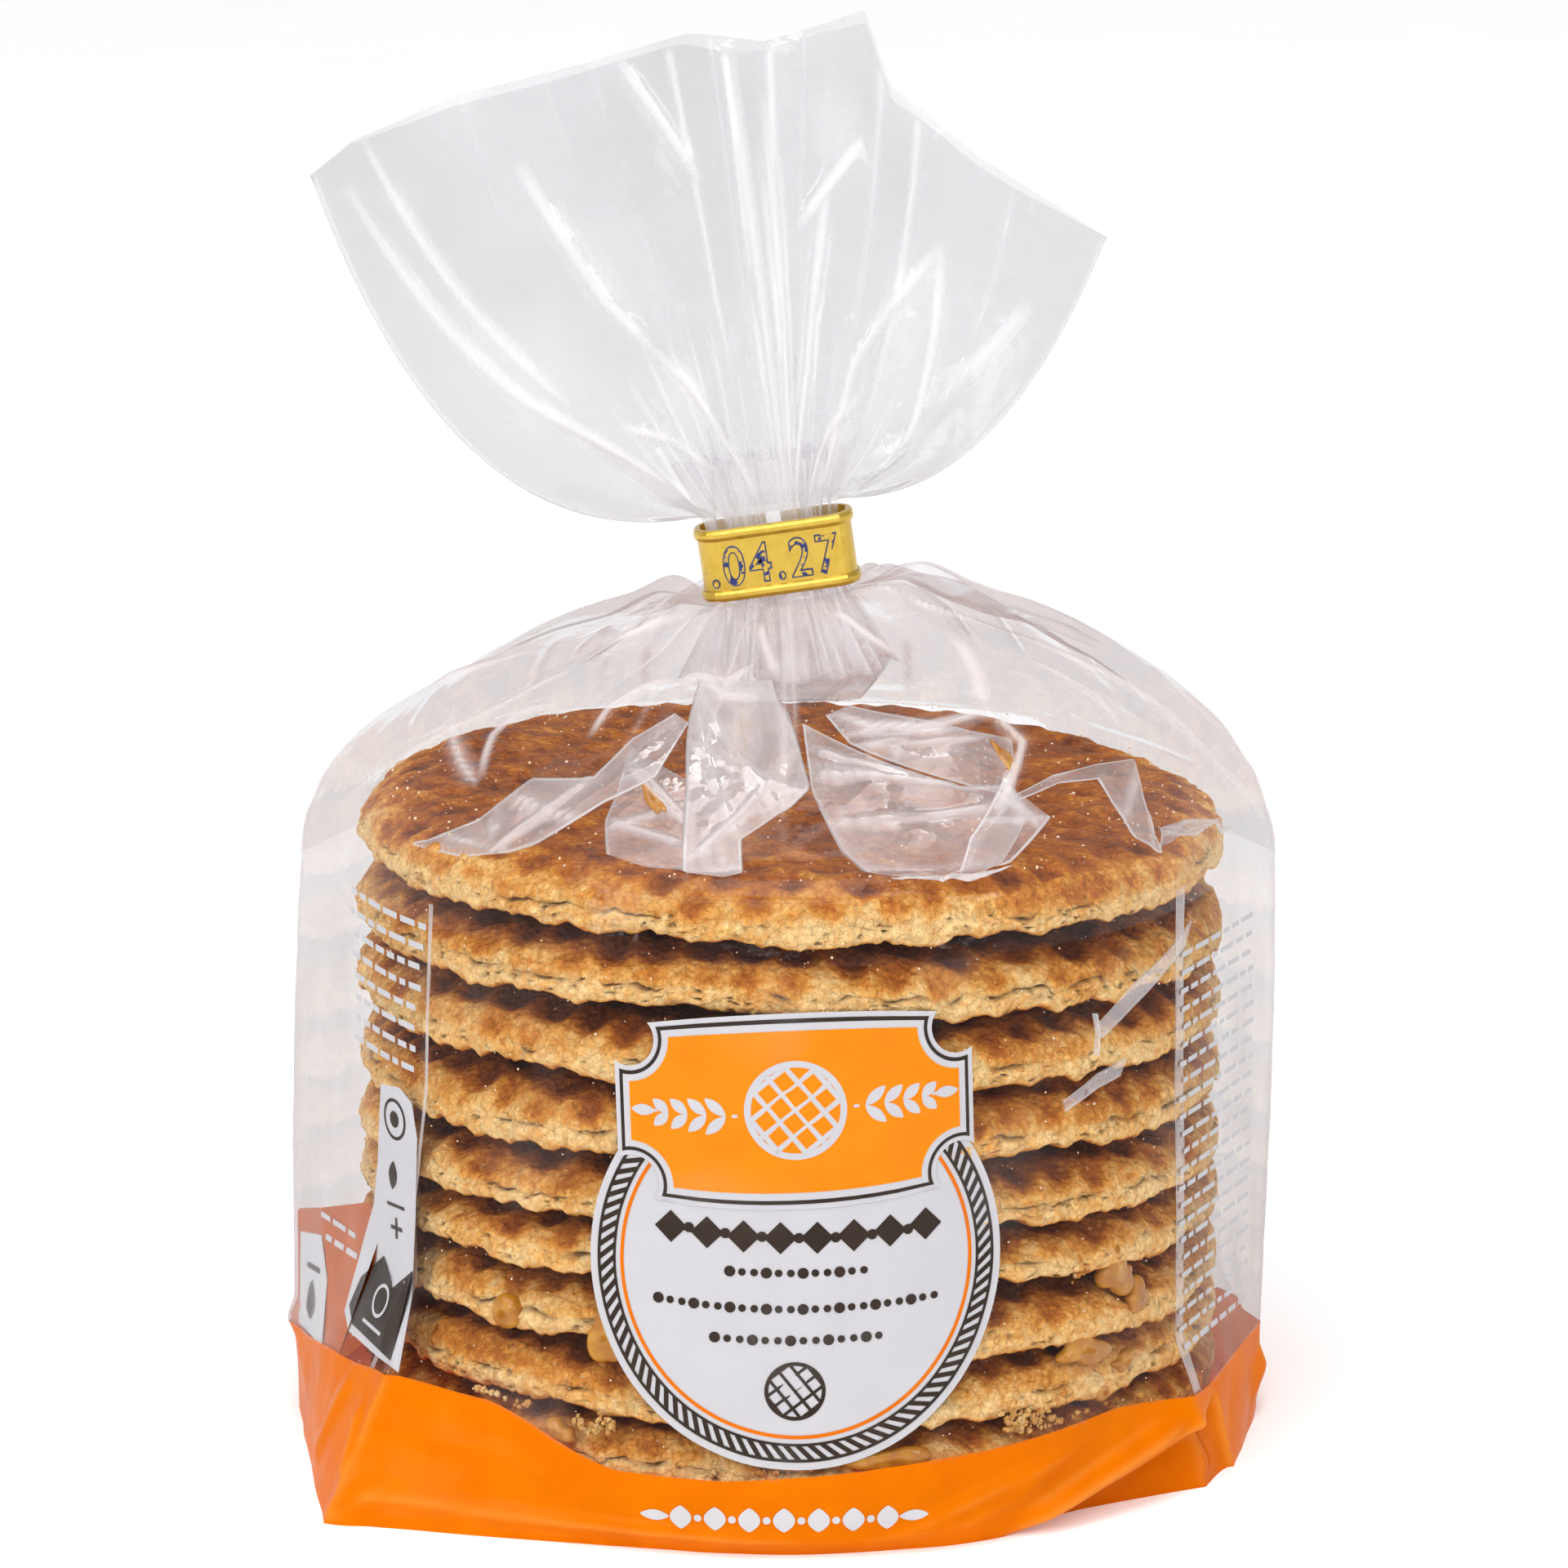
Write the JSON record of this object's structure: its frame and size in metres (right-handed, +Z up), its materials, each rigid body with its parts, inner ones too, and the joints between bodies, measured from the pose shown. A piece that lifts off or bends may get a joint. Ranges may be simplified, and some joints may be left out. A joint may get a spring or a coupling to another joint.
{
  "type": "bag of caramel wafers",
  "caption": "Clear gusseted film bag of round caramel-filled waffle biscuits, gathered at the neck and closed with a gold band clip, standing on an orange printed foot.",
  "frame": {"origin": "middle of the bag's flat foot, on the surface it stands on", "axes": "+Z up along the stack and the neck, +X to the right seen from the printed front, -Y out of the printed front"},
  "size_m": [0.1085, 0.0966, 0.1554],
  "materials": {
    "film": "clear glossy film",
    "clip": "satin gold",
    "wafer": "baked crumb",
    "caramel": "glossy syrup",
    "print": "glossy ink"
  },
  "bodies": {
    "root": {"bag": "film", "clip": "clip"}
  },
  "joints": []
}
